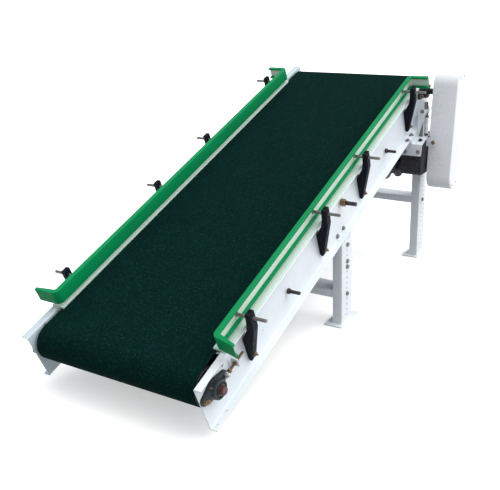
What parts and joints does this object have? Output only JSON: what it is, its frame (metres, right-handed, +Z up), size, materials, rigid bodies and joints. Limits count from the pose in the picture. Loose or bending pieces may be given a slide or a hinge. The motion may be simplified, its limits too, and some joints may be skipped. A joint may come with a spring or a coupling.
{
  "type": "belt conveyor section",
  "caption": "Inclined belt conveyor section on perforated legs: dark green belt between white side channels, adjustable green guide rails, and a guarded chain drive at the high end.",
  "frame": {"origin": "centre of the bounding box at floor level", "axes": "+Y horizontally along the conveyor, from the low infeed end to the high discharge end; +X across it, towards the drive side; +Z up"},
  "size_m": [1.035, 2.1, 0.9865],
  "materials": {
    "white_paint": "white powder coat",
    "galvanised": "bright galvanised sheet and tube",
    "belt_green": "dark green fabric-textured belt cover",
    "strip_cream": "cream wear strip",
    "rail_green": "green low-friction plastic",
    "rail_white": "off-white painted bar",
    "bracket_black": "black moulded bracket",
    "bright_steel": "plain steel rod and thread",
    "bearing_green": "dark green painted casting",
    "drum_steel": "turned steel with light rust on the shaft ends",
    "guard_paint": "pale grey painted sheet",
    "motor_paint": "black motor enamel",
    "sprocket_steel": "oiled dark steel",
    "fan_plastic": "black moulded fan"
  },
  "bodies": {
    "frame": {"belt": "belt_green", "chain_guard_back": "guard_paint", "chain_guard_cover": "guard_paint", "drive_chain": "sprocket_steel", "edge_strip_left": "strip_cream", "edge_strip_right": "strip_cream", "fan_cowl": "motor_paint", "gearbox": "motor_paint", "guide_bracket_left_1": "bracket_black", "guide_bracket_left_2": "bracket_black", "guide_bracket_left_3": "bracket_black", "guide_bracket_left_4": "bracket_black", "guide_bracket_right_1": "bracket_black", "guide_bracket_right_2": "bracket_black", "guide_bracket_right_3": "bracket_black", "guide_bracket_right_4": "bracket_black", "head_bearing_left": "bearing_green", "head_bearing_right": "bearing_green", "leg_mount_far_left": "white_paint", "leg_mount_far_right": "white_paint", "leg_mount_mid_left": "white_paint", "leg_mount_mid_right": "white_paint", "motor_hanger": "white_paint", "motor_housing": "motor_paint", "return_axle_far": "bright_steel", "return_axle_near": "bright_steel", "side_frame_left": "white_paint", "side_frame_right": "white_paint", "slider_bed": "galvanised", "tension_rod": "bright_steel", "tie_rod": "bright_steel"},
    "take_up": {"tail_bearing_left": "bearing_green", "tail_bearing_right": "bearing_green", "take_up_screw_left": "bright_steel", "take_up_screw_right": "bright_steel"},
    "tail_drum": {"tail_pulley": "drum_steel"},
    "head_drum": {"head_pulley": "drum_steel", "driven_sprocket": "sprocket_steel"},
    "near_roller": {"return_roller_near": "galvanised"},
    "far_roller": {"return_roller_far": "galvanised"},
    "gear_output": {"drive_sprocket": "sprocket_steel"},
    "cooling_fan": {"motor_fan": "fan_plastic"},
    "guide_left": {"guide_rail_left": "rail_green", "rail_backing_left": "rail_white", "guide_rod_left_1": "bright_steel", "guide_rod_left_2": "bright_steel", "guide_rod_left_3": "bright_steel", "guide_rod_left_4": "bright_steel"},
    "guide_right": {"guide_rail_right": "rail_green", "rail_backing_right": "rail_white", "guide_rod_right_1": "bright_steel", "guide_rod_right_2": "bright_steel", "guide_rod_right_3": "bright_steel", "guide_rod_right_4": "bright_steel"},
    "legs_mid": {"leg_mid_left": "white_paint", "leg_mid_right": "white_paint", "leg_brace_mid": "white_paint"},
    "legs_far": {"leg_far_left": "white_paint", "leg_far_right": "white_paint", "leg_brace_far": "white_paint"}
  },
  "joints": [
    {"name": "take_up_slide", "type": "slide", "parent": "frame", "child": "take_up", "axis": [0, 0.9379, 0.3469], "range_m": [-0.01, 0.025], "deforming": ["belt"]},
    {"name": "tail_drum_spin", "type": "hinge", "parent": "take_up", "child": "tail_drum", "pos_m": [-0.0555, -0.95633, 0.1809], "axis": [-1, 0, 0], "continuous": true},
    {"name": "head_drum_spin", "type": "hinge", "parent": "frame", "child": "head_drum", "pos_m": [-0.0555, 0.93539, 0.88067], "axis": [-1, 0, 0], "continuous": true},
    {"name": "near_roller_spin", "type": "hinge", "parent": "frame", "child": "near_roller", "pos_m": [-0.0555, -0.47049, 0.326], "axis": [-1, 0, 0], "continuous": true},
    {"name": "far_roller_spin", "type": "hinge", "parent": "frame", "child": "far_roller", "pos_m": [-0.0555, 0.45239, 0.66738], "axis": [-1, 0, 0], "continuous": true},
    {"name": "gear_output_spin", "type": "hinge", "parent": "frame", "child": "gear_output", "pos_m": [0.4495, 0.89504, 0.53], "axis": [-1, 0, 0], "continuous": true},
    {"name": "cooling_fan_spin", "type": "hinge", "parent": "frame", "child": "cooling_fan", "pos_m": [0.0005, 0.81504, 0.536], "axis": [-1, 0, 0], "continuous": true},
    {"name": "guide_left_slide", "type": "slide", "parent": "frame", "child": "guide_left", "axis": [-1, 0, 0], "range_m": [-0.03, 0.03]},
    {"name": "guide_right_slide", "type": "slide", "parent": "frame", "child": "guide_right", "axis": [1, 0, 0], "range_m": [-0.03, 0.025]},
    {"name": "legs_mid_height", "type": "slide", "parent": "frame", "child": "legs_mid", "axis": [0, 0, -1], "range_m": [0, 0.075]},
    {"name": "legs_far_height", "type": "slide", "parent": "frame", "child": "legs_far", "axis": [0, 0, -1], "range_m": [0, 0.075]}
  ],
  "couplings": [
    {"joint": "tail_drum_spin", "follows": "head_drum_spin", "ratio": 1},
    {"joint": "near_roller_spin", "follows": "head_drum_spin", "ratio": -2.852},
    {"joint": "far_roller_spin", "follows": "head_drum_spin", "ratio": -2.852},
    {"joint": "gear_output_spin", "follows": "head_drum_spin", "ratio": 1.3333},
    {"joint": "cooling_fan_spin", "follows": "head_drum_spin", "ratio": 33.333}
  ]
}
